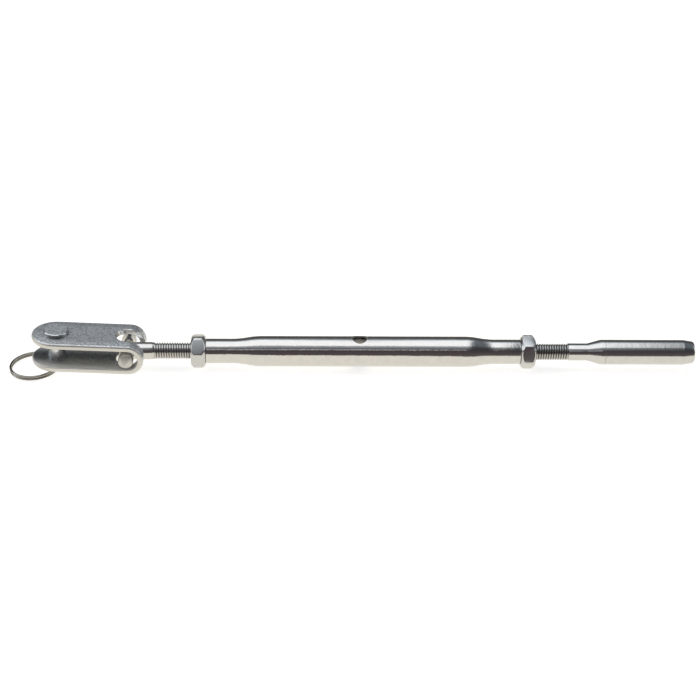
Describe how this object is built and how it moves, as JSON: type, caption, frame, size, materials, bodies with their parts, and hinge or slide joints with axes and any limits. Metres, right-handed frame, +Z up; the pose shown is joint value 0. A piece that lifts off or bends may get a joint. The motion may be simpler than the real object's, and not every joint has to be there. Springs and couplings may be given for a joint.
{
  "type": "closed body turnbuckle",
  "caption": "Closed body rigging turnbuckle: tubular barrel with cross hole, toggle jaw with clevis pin and split ring on one stud, swage stud on the other, a lock nut at each end.",
  "frame": {"origin": "centre of the cross hole through the barrel, on the barrel's axis", "axes": "+X along the barrel to the swage end, +Z up along the cross hole, so that the toggle's pivot lies along Y"},
  "size_m": [0.2482, 0.019, 0.016],
  "materials": {
    "barrel_steel": "polished stainless steel",
    "nut_steel": "satin stainless steel",
    "bolt_steel": "polished stainless steel with a cut thread",
    "strap_steel": "tumbled satin stainless steel",
    "pin_steel": "tumbled satin stainless steel",
    "ring_steel": "bright drawn stainless wire",
    "stud_steel": "polished stainless steel with a cut thread"
  },
  "bodies": {
    "barrel": {"barrel": "barrel_steel"},
    "toggle_nut": {"toggle_lock_nut": "nut_steel"},
    "wire_nut": {"wire_lock_nut": "nut_steel"},
    "toggle_bolt": {"toggle_bolt": "bolt_steel"},
    "toggle_strap": {"toggle_strap": "strap_steel"},
    "clevis_pin": {"clevis_pin": "pin_steel"},
    "cotter_ring": {"cotter_ring": "ring_steel"},
    "swage_stud": {"swage_stud": "stud_steel"}
  },
  "joints": [
    {"name": "barrel_screw", "type": "hinge", "parent": "barrel", "child": "toggle_nut", "pos_m": [-0.06075, 0, 0], "axis": [-1, 0, 0], "range_deg": [-4680, 7920]},
    {"name": "toggle_bolt_travel", "type": "slide", "parent": "toggle_nut", "child": "toggle_bolt", "axis": [-1, 0, 0], "range_m": [-0.01179, 0.01996]},
    {"name": "wire_nut_turn", "type": "hinge", "parent": "barrel", "child": "wire_nut", "pos_m": [0.06365, 0, 0], "axis": [-1, 0, 0], "range_deg": [-4680, 7920]},
    {"name": "swage_stud_travel", "type": "slide", "parent": "wire_nut", "child": "swage_stud", "axis": [1, 0, 0], "range_m": [-0.0118, 0.02]},
    {"name": "toggle_pivot", "type": "hinge", "parent": "toggle_bolt", "child": "toggle_strap", "pos_m": [-0.08376, 0, 0], "axis": [0, 1, 0], "range_deg": [-85, 85]},
    {"name": "clevis_pin_turn", "type": "hinge", "parent": "toggle_strap", "child": "clevis_pin", "pos_m": [-0.10907, 0, 0.00162], "axis": [0.0401, 0, 0.9992], "continuous": true},
    {"name": "ring_swing", "type": "hinge", "parent": "clevis_pin", "child": "cotter_ring", "pos_m": [-0.10934, 0, -0.00533], "axis": [-0.1735, 0.9848, 0.007], "range_deg": [-172, 3]}
  ],
  "couplings": [
    {"joint": "barrel_screw", "follows": "toggle_bolt_travel", "rad_per_m": 6926.4},
    {"joint": "wire_nut_turn", "follows": "toggle_bolt_travel", "rad_per_m": 6926.4},
    {"joint": "swage_stud_travel", "follows": "toggle_bolt_travel", "ratio": 1}
  ]
}
